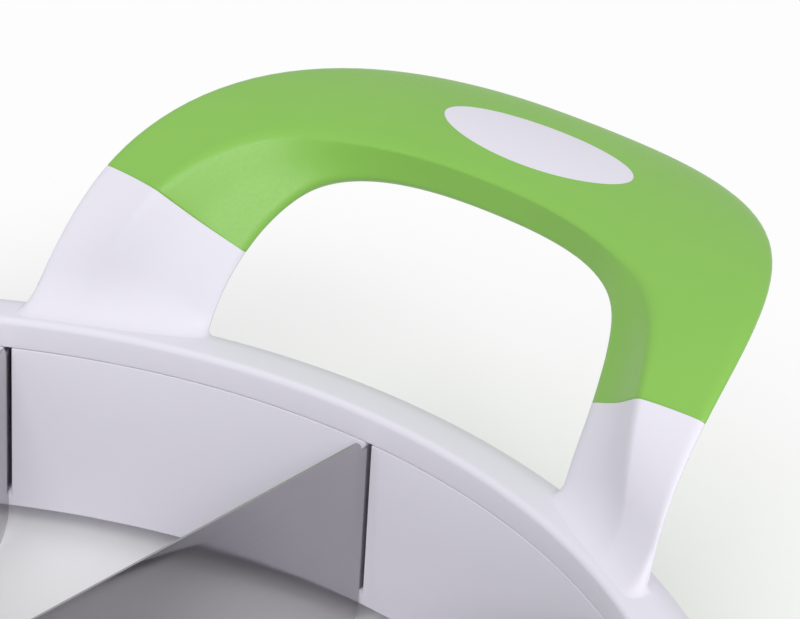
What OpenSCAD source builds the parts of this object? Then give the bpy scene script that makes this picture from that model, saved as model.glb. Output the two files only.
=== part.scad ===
// Push-through melon slicer: a moulded frame ring with two arched handles, a slotted
// blade carrier screwed up under it, radial steel blades and a slotted core ring.
// Millimetres, +Z up. The origin is on the ring's axis, in the plane that the ring rests on,
// and the handles lie along X.

/* [Ring] */
// Clear diameter inside the ring, at the seam between frame and carrier
clear_d = 256; // [200:1:320]
// Radial width of the ring
ring_w = 12; // [11.5:0.1:18]
// Height of the rim above the seam
rim_h = 5.1; // [4.5:0.1:9]
// Wall thickness of the moulded pieces
skin = 2.4; // [1.8:0.1:2.8]
// Radius of the rim's outer shoulder
rim_round = 6.5; // [4:0.1:7]
// Radius of the rim's inner crease
crease_r = 1.2; // [0.6:0.1:1.8]
// Radius of the edges that the ring rests on
rest_round = 0.6; // [0.3:0.1:0.8]
// Outward lean of the rim's inner face
lip_lean = 0.4; // [0:0.1:1]

/* [Blade carrier] */
// Height of the carrier's wall, from its lower edge to the seam
wall_h = 29.2; // [22:0.1:40]
// Inward lean of the wall at its lower edge
wall_draft = 1.4; // [0:0.1:2]
// Width of a blade slot
slot_w = 1.4; // [1.2:0.1:3]
// Height of the slot's floor above the wall's lower edge
slot_floor = 3; // [2.4:0.1:6]
// Height of the chamfer at the slot's lower mouth
slot_chamfer = 1.2; // [0.5:0.1:2]
// Depth of the pocket behind the wall that guides a blade's tab
pocket_d = 5; // [3:0.1:6]
// Thickness of the carrier's bottom flange
flange_t = 2.2; // [1.6:0.1:3]
// Gap between the carrier's flange and the frame's skirt
skirt_gap = 0.3; // [0.2:0.05:0.6]

/* [Blades] */
// Number of blades
blade_count = 12; // [8:2:16]
// Thickness of a blade
blade_t = 0.6; // [0.4:0.05:1]
// Height of a blade's spine above the seam
spine_rise = 1.3; // [0.5:0.1:3]
// Depth of a blade's cutting edge below the carrier's wall
blade_reach = 4.5; // [3:0.1:8]
// Height of the cutting edges above the plane that the ring rests on
edge_clear = 0.5; // [0.3:0.1:2]
// Height of the bevels ground along a cutting edge
bevel_h = 2.6; // [1:0.1:4]
// Width that is left of a cutting edge
edge_t = 0.1; // [0.05:0.01:0.2]
// Radius of a blade's lower outer corner
corner_r = 5; // [2:0.1:6]
// Gap between the wall and the end of a blade's spine
step_gap = 1.9; // [1:0.1:4]
// Radius of the spine's outer corner
spine_round = 1.2; // [0.4:0.1:1.6]
// Drop from the seam to the top of a blade's tab
tab_drop = 0.5; // [0.3:0.1:1.5]
// Gap between a blade and the carrier's wall and pocket
tab_gap = 0.4; // [0.2:0.05:0.8]

/* [Core ring] */
// Outer diameter of the core ring
core_d = 48; // [36:1:70]
// Wall thickness of the core ring
core_t = 1; // [0.6:0.1:1.6]
// Height of the lap joint's seat above the cutting edges
lap_h = 17; // [10:0.5:22]
// Length of a blade inside the core ring
core_poke = 2; // [1:0.1:4]
// Drop from the blades' spines to the top of the core ring
core_drop = 1; // [0:0.1:3]
// Gap at each side of a lap joint
lap_gap = 0.1; // [0.05:0.05:0.3]

/* [Handles] */
// Distance of a handle's foot outside the seam
foot_out = 4.7; // [3:0.1:6]
// Height of a handle's foot above the seam
foot_rise = 3.9; // [2:0.1:5]
// Slope of a handle's legs, in degrees
leg_slope = 68.5; // [60:0.1:80]
// Length of a leg before it bends outwards
leg_straight = 5.1; // [0:0.1:12]
// Radius of the bend from the legs to the bar
bend_r = 41.1; // [36:0.1:60]
// Half the span between the middles of the legs
arch_half = 48.6; // [42:0.1:58]
// Length from the feet to the middle of the bar, along the bend
arch_rise = 51.8; // [44:0.1:58]
// Squareness of the arch: 2 is an ellipse, more is squarer
arch_power = 3.3; // [3:0.1:5]
// Half the width of a leg
leg_half = 14.2; // [12:0.1:16]
// Half the width of the bar
bar_half = 14.4; // [12:0.1:16]
// Widening of the handle where a leg turns into the bar
corner_swell = 1.1; // [0:0.1:2]
// Height of the ridge above the handle's middle surface
ridge_h = 4.7; // [4:0.1:6]
// Depth of the back below the middle surface, on the legs
leg_back = 7.2; // [7:0.1:10]
// Depth of the back below the middle surface, on the bar
bar_back = 9.8; // [7:0.1:11]
// Drop of the outer edge below the middle surface
outer_drop = 0.8; // [0:0.1:2]
// Drop of the finger-gap edge below the middle surface, on the legs
leg_gap_drop = 3.4; // [1:0.1:4]
// Drop of the finger-gap edge below the middle surface, on the bar
bar_gap_drop = 1.9; // [0:0.1:3]
// Place of the ridge across a leg, as a share of its half width
leg_ridge = 0.48; // [0.2:0.01:0.65]
// Place of the ridge across the bar, as a share of its half width
bar_ridge = -0.87; // [-0.9:0.01:-0.4]
// Lean of the grip's ends, in degrees
rake = 15; // [0:1:20]
// Height of the ridge above the middle surface at a leg's foot
foot_ridge = 1.2; // [0.8:0.1:3]
// Depth of the back below the middle surface at a leg's foot
foot_back = 7.5; // [6:0.1:8]
// Length over which a leg takes on its full thickness
foot_fade = 14; // [8:0.5:24]
// Widening of a leg where it meets the rim
foot_flare = 0.8; // [0:0.1:3]
// Height over which that widening fades
foot_blend = 4; // [3:0.1:12]
// Widening of a leg's outer side towards its foot
foot_splay = 1.8; // [0:0.1:3]
// Length over which that side straightens
splay_fade = 19; // [10:0.5:24]

/* [Grips] */
// Angle round the arch at which a grip begins
grip_start = 24; // [20:0.1:35]
// Thickness of the soft grip
grip_t = 2; // [1.5:0.1:2.5]
// Length of the oval window
oval_l = 38.2; // [24:0.1:44]
// Width of the oval window
oval_w = 12.2; // [8:0.1:14]
// Distance of the window inside the bar's middle line
oval_in = 2.3; // [0:0.1:4]
// Gap round the core's pad in the window
oval_gap = 0.15; // [0.05:0.05:0.3]

/* [Screws] */
// Number of screws that hold the carrier
screw_count = 6; // [4:1:8]
// Diameter of a screw's shank
screw_d = 2.4; // [2:0.1:2.8]
// Length of a screw's shank
screw_l = 13; // [8:0.5:20]
// Diameter of a screw's head
head_d = 5.2; // [4.5:0.1:6]
// Height of a screw's head
head_h = 1.8; // [1.4:0.1:2.2]
// Length of the cross recess in a screw's head
recess_l = 2.6; // [2:0.1:3]
// Width of the arms of that recess
recess_w = 0.9; // [0.6:0.1:1.2]
// Depth of that recess
recess_d = 1.1; // [0.8:0.1:1.2]
// Diameter of the bosses that take the screws
boss_d = 5.6; // [5:0.1:6]
// Gap round a screw's shank in the flange
screw_gap = 0.3; // [0.2:0.05:0.5]
// Gap round a screw's shank in its boss
thread_gap = 0.02; // [0.01:0.01:0.05]

/* [Hidden] */
// Heights, from the plane that the ring rests on
edge_z = edge_clear;
wall_z = edge_z + blade_reach;
floor_z = wall_z + slot_floor;
flange_z = wall_z + flange_t;
seam_z = wall_z + wall_h;
top_z = seam_z + rim_h;
spine_z = seam_z + spine_rise;
tab_z = seam_z - tab_drop;
lap_z = edge_z + lap_h;
core_z = spine_z - core_drop;
foot_z = seam_z + foot_rise;

// Radii, from the ring's axis
seam_r = clear_d / 2;
low_r = seam_r - wall_draft;
ring_r = seam_r + ring_w;
skirt_r = ring_r - skin;
shoulder_r = ring_r - rim_round;
pocket_r = seam_r + skin + pocket_d;
slot_r = pocket_r - skin / 2;
tab_r = slot_r - tab_gap;
body_r = low_r - tab_gap;
step_r = seam_r - step_gap;
core_r = core_d / 2;
core_in_r = core_r - core_t;
blade_in_r = core_in_r - core_poke;
boss_r = (seam_r + skin + skirt_r) / 2;
foot_r = seam_r + foot_out;

// Overrun of a cut past the face that it opens
over = 1;
// Steps on a rounded corner, and samples between two points of a handle's section
arc_steps = 8;
section_steps = 3;
// Where the legs start, below the rim, and the steps along a leg and along the bar
leg_start = -8;
leg_steps = 8;
bar_steps = 30;
oval_steps = 40;
// Reach of the oval pad's own skin, either side of the bar's middle
oval_reach = 45;
round_fn = 48;
arch_step = 0.5;

function blade_name(i) = str("blade_", i < 10 ? "0" : "", i);

function mix(a, b, t) = a + (b - a) * t;
function clamp(t) = min(max(t, 0), 1);
function ease(t) = t * t * (3 - 2 * t);
function arc(centre, r, from, to) =
    [for (i = [0 : arc_steps]) let (a = mix(from, to, i / arc_steps)) centre + r * [cos(a), sin(a)]];

// The handle's middle surface: straight legs that bend outwards, turned about the ring's axis,
// so that the legs follow the rim. s runs along the rim, w up the legs and n out of the surface.
function slope(w) = leg_slope - max(w - leg_straight, 0) / bend_r * 180 / PI;
function rise_r(w) = foot_r + min(w, leg_straight) * cos(leg_slope) + bend_r * (sin(leg_slope) - sin(slope(w)));
function rise_z(w) = foot_z + min(w, leg_straight) * sin(leg_slope) + bend_r * (cos(slope(w)) - cos(leg_slope));
function on_handle(s, w, n) =
    let (turn = asin(s / rise_r(w)), r = rise_r(w) - n * sin(slope(w)))
    [r * cos(turn), r * sin(turn), rise_z(w) + n * cos(slope(w))];

// The arch that the handle's middle line follows over that surface
function arch(a) =
    let (reach = pow(abs(cos(a)) / arch_half, arch_power) + pow(abs(sin(a)) / arch_rise, arch_power))
    pow(reach, -1 / arch_power) * [-cos(a), sin(a)];
function arch_out(a) =
    let (d = arch(a + arch_step) - arch(a - arch_step), lean = atan2(d.x, -d.y) - rake * sin(2 * a))
    [cos(lean), sin(lean)];

// Shares of the handle's section: the flat of its back, the height that the outer shoulder keeps and
// the place of the knee in the facet towards the finger gap
back_share = 0.45;
shoulder_share = 0.75;
facet_share = 0.55;

// The handle's section: a broad outer facet and a facet towards the finger gap meet at a ridge
function section(a, w, inset) =
    let (
        t = pow(clamp(w / arch_rise), 2),
        rim_w = (rim_h - foot_rise) / sin(leg_slope),
        flare = foot_flare * pow(clamp(1 - (w - rim_w) / foot_blend), 2),
        half = mix(leg_half, bar_half, t) + corner_swell * pow(sin(2 * a), 2) + flare - inset,
        outer = half + foot_splay * pow(clamp(1 - w / splay_fade), 2),
        ridge = half * mix(leg_ridge, bar_ridge, t),
        grown = ease(clamp(w / foot_fade)),
        top = mix(foot_ridge, ridge_h, grown) - inset,
        gap_low = -mix(leg_gap_drop, bar_gap_drop, t) + inset / 2,
        back = inset - mix(foot_back, mix(leg_back, bar_back, t), grown)
    )
    [
        [ridge, top],
        [(ridge + outer) / 2, top],
        [outer, top * shoulder_share],
        [outer, -outer_drop + inset / 2],
        [outer * back_share, back],
        [-half * back_share, back],
        [-half, gap_low],
        [mix(ridge, -half, facet_share), mix(top, gap_low, facet_share)]
    ];
function smoothed(c) =
    let (n = len(c))
    [
        for (i = [0 : n - 1], j = [0 : section_steps - 1])
            let (t = j / section_steps, a = (c[(i + n - 1) % n] + c[i]) / 2, b = (c[i] + c[(i + 1) % n]) / 2)
            (1 - t) * (1 - t) * a + 2 * t * (1 - t) * c[i] + t * t * b
    ];
function station(a, inset) =
    let (c = arch(a), out = arch_out(a))
    [for (p = smoothed(section(a, c.y, inset))) on_handle(c.x + out.x * p.x, c.y + out.y * p.x, p.y)];

function leg_angles(from, to, steps) = [for (i = [0 : steps]) mix(from, to, i / steps)];
left_leg = leg_angles(leg_start, grip_start, leg_steps);
bar = leg_angles(grip_start, 180 - grip_start, bar_steps);
right_leg = leg_angles(180 - grip_start, 180 - leg_start, leg_steps);

// A skin over a row of stations, closed by end caps or, as a sleeve, by joining last to first
module loft(stations, sleeve = false) {
    n = len(stations[0]);
    m = len(stations);
    last = sleeve ? m - 1 : m - 2;
    sides = [
        for (i = [0 : last], j = [0 : n - 1])
            let (a = i * n + j, b = i * n + (j + 1) % n, c = (i + 1) % m * n + j, d = (i + 1) % m * n + (j + 1) % n)
            each [[a, c, b], [b, c, d]]
    ];
    caps = [
        for (j = [1 : n - 2])
            each [[0, j, j + 1], [(m - 1) * n, (m - 1) * n + j + 1, (m - 1) * n + j]]
    ];
    polyhedron([for (s = stations) each s], sleeve ? sides : concat(sides, caps));
}

module handle_core() {
    loft(concat(
        [for (a = left_leg) station(a, 0)],
        [for (a = bar) station(a, grip_t)],
        [for (a = right_leg) station(a, 0)]
    ));
    intersection() {
        loft([for (a = bar) if (abs(a - 90) < oval_reach) station(a, 0)]);
        oval_plug(0);
    }
}

// The upright oval that makes the pad on the core and the window in the grip
module oval_plug(gap) {
    points = [
        for (i = [0 : oval_steps - 1])
            let (a = 360 * i / oval_steps)
            [(oval_w / 2 + gap) * cos(a), (oval_l / 2 + gap) * sin(a)]
    ];
    translate([rise_r(arch_rise) - oval_in, 0, rise_z(arch_rise)])
        linear_extrude(ridge_h + over)
            polygon(points);
}

module grip() {
    color("yellowgreen")
        difference() {
            loft(concat(
                [for (a = bar) station(a, 0)],
                [for (i = [bar_steps : -1 : 0]) station(bar[i], grip_t)]
            ), true);
            oval_plug(oval_gap);
        }
}

module right_grip() {
    grip();
}

module left_grip() {
    rotate([0, 0, 180])
        grip();
}

// Places copies round the ring, midway between blades
module between_blades(count) {
    for (i = [0 : count - 1])
        rotate([0, 0, 180 / blade_count + 360 * round(i * blade_count / count) / blade_count])
            translate([boss_r, 0, 0])
                children();
}

module top_frame() {
    shoulder = [shoulder_r, top_z - rim_round];
    rim = concat(
        [[seam_r, seam_z]],
        arc([seam_r + lip_lean + crease_r, top_z - crease_r], crease_r, 180, 90),
        arc(shoulder, rim_round, 90, 0),
        arc([ring_r - rest_round, rest_round], rest_round, 0, -90),
        arc([skirt_r + rest_round, rest_round], rest_round, -90, -180),
        arc(shoulder, rim_round - skin, 0, 90),
        [[seam_r + skin, top_z - skin], [seam_r + skin, seam_z]]
    );
    inside_rim = concat(
        [[0, 0], [ring_r - skin / 2, 0]],
        arc(shoulder, rim_round - skin / 2, 0, 90),
        [[0, top_z - skin / 2]]
    );
    color("ghostwhite") {
        rotate_extrude($fn = round_fn * 4)
            polygon(rim);
        difference() {
            union() {
                handle_core();
                rotate([0, 0, 180])
                    handle_core();
            }
            rotate_extrude($fn = round_fn * 4)
                polygon(inside_rim);
        }
        between_blades(screw_count)
            difference() {
                translate([0, 0, flange_z])
                    cylinder(d = boss_d, h = top_z - skin / 2 - flange_z, $fn = round_fn);
                translate([0, 0, flange_z - over])
                    cylinder(d = screw_d + 2 * thread_gap, h = screw_l - flange_t + 2 * over, $fn = round_fn);
            }
    }
}

module blade_carrier() {
    wall = [
        [low_r, wall_z],
        [skirt_r - skirt_gap, wall_z],
        [skirt_r - skirt_gap, flange_z],
        [low_r + skin, flange_z],
        [seam_r + skin, seam_z],
        [seam_r, seam_z]
    ];
    slot = [
        [low_r - over, seam_z + over],
        [slot_r, seam_z + over],
        [slot_r, floor_z],
        [low_r + slot_chamfer, floor_z],
        [low_r - over, floor_z - slot_chamfer - over]
    ];
    pocket = [
        [low_r + skin / 2, wall_z + flange_t / 2],
        [pocket_r, wall_z + flange_t / 2],
        [pocket_r, tab_z],
        [seam_r + skin / 2, tab_z]
    ];
    color("ghostwhite")
        difference() {
            union() {
                rotate_extrude($fn = round_fn * 4)
                    polygon(wall);
                for (i = [1 : blade_count])
                    rotate([90, 0, 360 * (i - 1) / blade_count])
                        linear_extrude(slot_w + skin, center = true)
                            polygon(pocket);
            }
            for (i = [1 : blade_count])
                rotate([90, 0, 360 * (i - 1) / blade_count])
                    linear_extrude(slot_w, center = true)
                        polygon(slot);
            between_blades(screw_count)
                translate([0, 0, wall_z - over])
                    cylinder(d = screw_d + 2 * screw_gap, h = flange_t + 2 * over, $fn = round_fn);
        }
}

module blade(i) {
    outline = concat(
        [
            [blade_in_r, edge_z],
            [core_in_r - lap_gap, edge_z],
            [core_in_r - lap_gap, lap_z],
            [core_r + lap_gap, lap_z],
            [core_r + lap_gap, edge_z]
        ],
        arc([body_r - corner_r, edge_z + corner_r], corner_r, -90, 0),
        [
            [body_r, floor_z],
            [tab_r, floor_z],
            [tab_r, tab_z],
            [step_r, tab_z]
        ],
        arc([step_r - spine_round, spine_z - spine_round], spine_round, 0, 90),
        [[blade_in_r, spine_z]]
    );
    bevel = [
        [blade_t / 2, edge_z + bevel_h],
        [edge_t / 2, edge_z],
        [edge_t / 2, edge_z - over],
        [blade_t / 2 + over, edge_z - over],
        [blade_t / 2 + over, edge_z + bevel_h]
    ];
    color("gainsboro")
        rotate([0, 0, 360 * (i - 1) / blade_count])
            difference() {
                rotate([90, 0, 0])
                    linear_extrude(blade_t, center = true)
                        polygon(outline);
                for (side = [0, 1])
                    mirror([0, side, 0])
                        translate([blade_in_r - over, 0, 0])
                            rotate([90, 0, 90])
                                linear_extrude(body_r - blade_in_r + 2 * over)
                                    polygon(bevel);
            }
}

module core_ring() {
    wall = [
        [core_r, edge_z],
        [core_r, core_z],
        [core_in_r, core_z],
        [core_in_r, edge_z + bevel_h],
        [core_r - edge_t, edge_z]
    ];
    lap_w = blade_t + 2 * lap_gap;
    color("silver")
        difference() {
            rotate_extrude($fn = round_fn * 2)
                polygon(wall);
            for (i = [1 : blade_count])
                rotate([0, 0, 360 * (i - 1) / blade_count])
                    translate([core_in_r - over, -lap_w / 2, lap_z])
                        cube([core_t + 2 * over, lap_w, core_z - lap_z + over]);
        }
}

module carrier_screws() {
    color("lightgray")
        between_blades(screw_count)
            difference() {
                union() {
                    translate([0, 0, wall_z - head_h])
                        cylinder(d = head_d, h = head_h, $fn = round_fn);
                    translate([0, 0, wall_z - head_h / 2])
                        cylinder(d = screw_d, h = screw_l + head_h / 2, $fn = round_fn);
                }
                for (turn = [0, 90])
                    rotate([0, 0, turn])
                        translate([-recess_l / 2, -recess_w / 2, wall_z - head_h - over])
                            cube([recess_l, recess_w, recess_d + over]);
            }
}

top_frame();
blade_carrier();
core_ring();
right_grip();
left_grip();
carrier_screws();
for (i = [1 : blade_count]) blade(i);
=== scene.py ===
"""Looks of a push-through melon slicer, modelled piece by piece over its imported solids."""

from math import asin, atan2, copysign, cos, hypot, pi, radians, sin

import bmesh
import bpy
from bpy.props import FloatProperty, FloatVectorProperty, IntProperty, PointerProperty
from bpy.types import Operator, Panel, PropertyGroup
from mathutils import Matrix, Vector


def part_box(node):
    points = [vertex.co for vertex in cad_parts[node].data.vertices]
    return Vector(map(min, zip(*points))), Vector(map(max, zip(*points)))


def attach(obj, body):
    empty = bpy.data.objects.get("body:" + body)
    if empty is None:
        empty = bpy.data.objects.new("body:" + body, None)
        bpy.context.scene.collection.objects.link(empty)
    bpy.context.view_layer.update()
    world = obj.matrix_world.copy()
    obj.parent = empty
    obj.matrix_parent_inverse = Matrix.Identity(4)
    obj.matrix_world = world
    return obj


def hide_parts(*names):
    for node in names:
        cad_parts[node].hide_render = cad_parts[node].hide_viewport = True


bl_info = {
    "name": "Melon Slicer",
    "version": (1, 0, 0),
    "blender": (4, 5, 0),
    "location": "View3D > Sidebar > Slicer",
    "description": "Models and dresses a round melon slicer over its solids",
    "category": "Mesh",
}

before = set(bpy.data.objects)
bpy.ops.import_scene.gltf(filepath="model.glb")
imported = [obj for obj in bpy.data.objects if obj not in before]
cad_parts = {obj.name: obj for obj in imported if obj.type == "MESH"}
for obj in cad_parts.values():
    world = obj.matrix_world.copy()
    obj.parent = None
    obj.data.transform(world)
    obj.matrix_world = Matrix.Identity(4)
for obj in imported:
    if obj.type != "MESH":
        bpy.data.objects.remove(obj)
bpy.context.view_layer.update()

# Places read from the frame, in metres from the ring's axis and from the plane that it rests on
ring_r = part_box("top_frame")[1].y
carrier_low, carrier_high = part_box("blade_carrier")
flange_r = carrier_high.y
wall_z = carrier_low.z
seam_z = carrier_high.z
blade_low, blade_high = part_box("blade_01")
blade_t = blade_high.y - blade_low.y
blade_names = sorted(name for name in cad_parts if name.startswith(("blade_0", "blade_1")))
core_low, core_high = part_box("core_ring")
screws_low, screws_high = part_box("carrier_screws")

# Fineness of the meshes
RING_STEPS = 256
CORE_STEPS = 128
ARC_STEPS = 10
EDGE_STEPS = 4
BEVEL_STEPS = 2
SECTION_STEPS = 9
FOOT_STEPS = 88
FILLET_STEPS = 10
SHANK_STEPS = 4
LEG_STEPS = 22
BAR_STEPS = 84
OVAL_STEPS = 120
SCREW_STEPS = 32
HEAD_STEPS = 6
ROLL_STEPS = 6
# Steps along a foot over which the direction of its skin is taken
FOOT_STRIDE = 4
# Angle round the arch down to which a foot is followed into the rim, and its fillet's turn
FOOT_BELOW = radians(-8)
FILLET_TURN = radians(86)
# Step round the arch over which its direction is taken
LEAN_STEP = radians(0.5)
# Share of an inset by which the bar's outer side gets lower
SIDE_INSET = 1.25
# Angles above which an edge is broken, shaded as an edge, or shaded as an edge on a blade
BREAK_ANGLE = radians(40)
SHADE_ANGLE = radians(32)
BLADE_ANGLE = radians(25)
# Offset of a blade's sheared edges in its sheet map, the turn that sets them apart, and their dullness
SHEARED_UV = 1.0
SHEARED_TURN = 0.5
SHEARED_ROUGHNESS = 0.42
# Share of a screw head's height that its edge rounds off, and of a recess's width at its floor
HEAD_ROUND = 1 / 3
RECESS_FLOOR = 1 / 4
# Range of a noise that the gloss is spread over
NOISE_LOW = 0.3
NOISE_HIGH = 0.7
# Side of the floor, in metres
FLOOR_SIZE = 12
# Overrun of a cut past the face that it opens, and the distance at which doubles merge, in metres
OVER = 0.001
MERGE = 1e-6
FULL_TURN = 2 * pi


def size(name, description, default):
    """Setting for a length, in metres."""
    return FloatProperty(
        name=name, description=description, default=default, precision=5, subtype="DISTANCE", unit="LENGTH"
    )


def angle(name, description, degrees):
    """Setting for an angle, given in degrees."""
    return FloatProperty(
        name=name, description=description, default=radians(degrees), subtype="ANGLE", unit="ROTATION"
    )


def spot(name, description, default):
    """Setting for a place, in metres."""
    return FloatVectorProperty(
        name=name, description=description, default=default, precision=4, subtype="TRANSLATION", unit="LENGTH"
    )


def share(name, description, default):
    """Setting for a plain number."""
    return FloatProperty(name=name, description=description, default=default, precision=3)


def tint(name, description, default):
    """Setting for a colour."""
    return FloatVectorProperty(
        name=name, description=description, default=(*default, 1.0), size=4, min=0, max=1, subtype="COLOR"
    )


class SlicerRing(PropertyGroup):
    clear_r: size("Clear radius", "Inside of the ring at the seam", 0.128)
    rim_h: size("Rim height", "Height of the rim above the seam", 0.0051)
    skin: size("Skin", "Wall thickness of the moulded pieces", 0.0024)
    rim_round: size("Shoulder", "Radius of the rim's outer shoulder", 0.0065)
    crease_r: size("Crease", "Radius of the rim's inner crease", 0.0012)
    rest_round: size("Rest edge", "Radius of the edges that the ring rests on", 0.0006)
    lip_lean: size("Lip lean", "Outward lean of the rim's inner face", 0.0004)
    seam_round: size("Seam edge", "Radius of the edges at the seam", 0.0002)
    seam_gap: size("Seam gap", "Height of the shadow gap at the seam", 0.00013)
    seam_deep: size("Seam depth", "Depth of the shadow gap at the seam", 0.0004)


class SlicerCarrier(PropertyGroup):
    wall_draft: size("Draft", "Inward lean of the wall at its lower edge", 0.0014)
    wall_round: size("Lower edge", "Radius of the wall's lower inner edge", 0.0004)
    slot_w: size("Slot width", "Width of a blade slot", 0.0014)
    slot_floor: size("Slot floor", "Height of a slot's floor above the wall's lower edge", 0.003)
    slot_chamfer: size("Slot chamfer", "Chamfer at a slot's lower mouth", 0.0012)
    pocket_d: size("Pocket", "Depth of the pocket for a blade's tab", 0.005)
    flange_t: size("Flange", "Thickness of the bottom flange", 0.0022)
    edge_soft: size("Soft edges", "Width of the broken edges", 0.00028)


class SlicerBlades(PropertyGroup):
    bevel_h: size("Bevel", "Height of the ground bevels", 0.0026)
    edge_t: size("Edge", "Width left of a cutting edge", 0.0001)
    corner_r: size("Lower corner", "Radius of the lower outer corner", 0.005)
    step_gap: size("Notch", "Gap between the wall and the end of the spine", 0.0019)
    spine_round: size("Spine corner", "Radius of the spine's outer corner", 0.0012)
    tab_drop: size("Tab drop", "Drop from the seam to the top of the tab", 0.0005)
    tab_gap: size("Tab gap", "Gap between a blade and the wall", 0.0004)
    roll_h: size("Roll", "Height over which the faces roll off towards the spine", 0.0026)
    roll_d: size("Roll depth", "Depth of the roll at the spine, on each face", 0.00009)


class SlicerCore(PropertyGroup):
    wall_t: size("Wall", "Wall thickness of the core ring", 0.001)
    lap_h: size("Lap", "Height of the lap joint's seat above the cutting edges", 0.017)
    lap_gap: size("Lap gap", "Gap at each side of a lap joint", 0.0001)
    edge_soft: size("Soft edges", "Width of the broken edges", 0.00012)


class SlicerHandles(PropertyGroup):
    foot_out: size("Foot", "Distance of the foot outside the seam", 0.0048)
    foot_rise: size("Foot height", "Height of the foot above the seam", 0.0039)
    leg_slope: angle("Leg slope", "Slope of the legs", 68.7)
    leg_straight: size("Straight leg", "Length of a leg before it bends outwards", 0.0052)
    bend_r: size("Bend", "Radius of the bend from the legs to the bar", 0.0411)
    arch_half: size("Half span", "Half the span between the middles of the legs", 0.04835)
    arch_rise: size("Rise", "Length from the feet to the bar's middle, along the bend", 0.0518)
    arch_power: share("Squareness", "Squareness of the arch, where 2 is an ellipse", 3.355)
    leg_half: size("Leg", "Half the width of a leg", 0.014)
    leg_more: size("Leg outer", "Extra width of a leg's outer side", 0.001)
    bar_half: size("Bar", "Half the width of the bar", 0.0144)
    corner_swell: size("Corner", "Widening where a leg turns into the bar", 0.00138)
    ridge_h: size("Ridge", "Height of the ridge above the middle surface", 0.00465)
    leg_back: size("Leg back", "Depth of a leg's back below the middle surface", 0.0052)
    bar_back: size("Bar back", "Depth of the bar's back below the middle surface", 0.01)
    leg_side: size("Leg side", "Height of a leg's outer side", 0.0007)
    bar_side: size("Bar side", "Height of the bar's outer side", 0.0044)
    leg_gap_drop: size("Leg gap drop", "Drop of the finger-gap edge on the legs", 0.00367)
    bar_gap_drop: size("Bar gap drop", "Drop of the finger-gap edge on the bar", 0.00215)
    foot_gap_drop: size("Foot gap drop", "Drop of the finger-gap edge at a leg's foot", 0.00216)
    leg_ridge: share("Leg ridge", "Place of the ridge across a leg", 0.486)
    bar_ridge: share("Bar ridge", "Place of the ridge across the bar", -0.869)
    rake: angle("Rake", "Lean of the grip's ends", 16)
    foot_ridge: size("Foot ridge", "Height of the ridge's line at a leg's foot", -0.00045)
    foot_back: size("Foot back", "Depth of the back at a leg's foot", 0.0058)
    foot_fade: size("Foot fade", "Length over which a leg takes on its full section", 0.025)
    foot_splay: size("Foot splay", "Widening of a leg's outer side towards its foot", 0.00174)
    splay_fade: size("Splay fade", "Length over which that side straightens", 0.0183)
    side_fillet: size("Side fillet", "Fillet between a leg's sides and the rim", 0.0011)
    face_fillet: size("Face fillet", "Fillet between a leg's inner face and the rim", 0.004)
    fillet_rise: share("Fillet rise", "Height of that fillet over its reach on the rim", 2.2)
    foot_top: angle("Foot top", "Angle round the arch at which a foot ends", 15)
    back_share: share("Back flat", "Share of the width that the back keeps", 0.33)
    leg_shoulder: share("Leg shoulder", "Share of the ridge's height at a leg's outer edge", 0.19)
    bar_shoulder: share("Bar shoulder", "Share of the ridge's height at the bar's outer edge", 0.75)
    facet_share: share("Facet knee", "Place of the knee in the facet towards the finger gap", 0.5)
    leg_hollow: size("Leg hollow", "Hollow of a leg's facet towards the finger gap", 0.0013)
    bar_hollow: size("Bar hollow", "Hollow of the bar's facet towards the finger gap", 0.0004)
    ridge_share: share("Ridge round", "Share of the flats that the ridge rounds off", 0.33)
    edge_share: share("Leg edge", "Crispness of a leg's outer edge", 0.5)


class SlicerGrips(PropertyGroup):
    start: angle("Start", "Angle round the arch at which a grip begins", 24.1)
    thick: size("Thickness", "Thickness of the soft grip", 0.002)
    end_round: size("End edge", "Radius of the edges at a grip's ends", 0.0003)
    oval_l: size("Oval length", "Length of the oval window", 0.0382)
    oval_w: size("Oval width", "Width of the oval window", 0.0122)
    oval_in: size("Oval place", "Distance of the window inside the bar's middle line", 0.0023)
    oval_gap: size("Oval gap", "Gap round the pad in the window", 0.00003)


class SlicerScrews(PropertyGroup):
    count: IntProperty(name="Count", description="Number of screws", default=6, min=1)
    shank_d: size("Shank", "Diameter of a shank", 0.0024)
    head_d: size("Head", "Diameter of a head", 0.0052)
    head_h: size("Head height", "Height of a head", 0.0018)
    recess_l: size("Recess", "Length of the cross recess", 0.0026)
    recess_w: size("Recess arm", "Width of the recess's arms", 0.0009)
    recess_d: size("Recess depth", "Depth of the recess", 0.0011)
    boss_d: size("Boss", "Diameter of the screws' bosses", 0.0056)


class SlicerColours(PropertyGroup):
    white: tint("White", "Moulded plastic", (0.78, 0.76, 0.845))
    white_deep: tint("White, deep", "Moulded plastic where the melt ran thick", (0.755, 0.735, 0.82))
    green: tint("Green", "Soft grip", (0.248, 0.53, 0.088))
    green_deep: tint("Green, deep", "Soft grip where it is handled", (0.222, 0.492, 0.075))
    steel: tint("Steel", "Polished sheet", (0.50, 0.49, 0.505))
    steel_deep: tint("Steel, deep", "Drawing lines in the sheet", (0.46, 0.45, 0.465))
    zinc: tint("Zinc", "Plated screws", (0.62, 0.62, 0.64))
    zinc_deep: tint("Zinc, deep", "Dull patches in the plating", (0.48, 0.48, 0.49))
    floor: tint("Floor", "Pale floor", (0.98, 0.98, 0.98))


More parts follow.
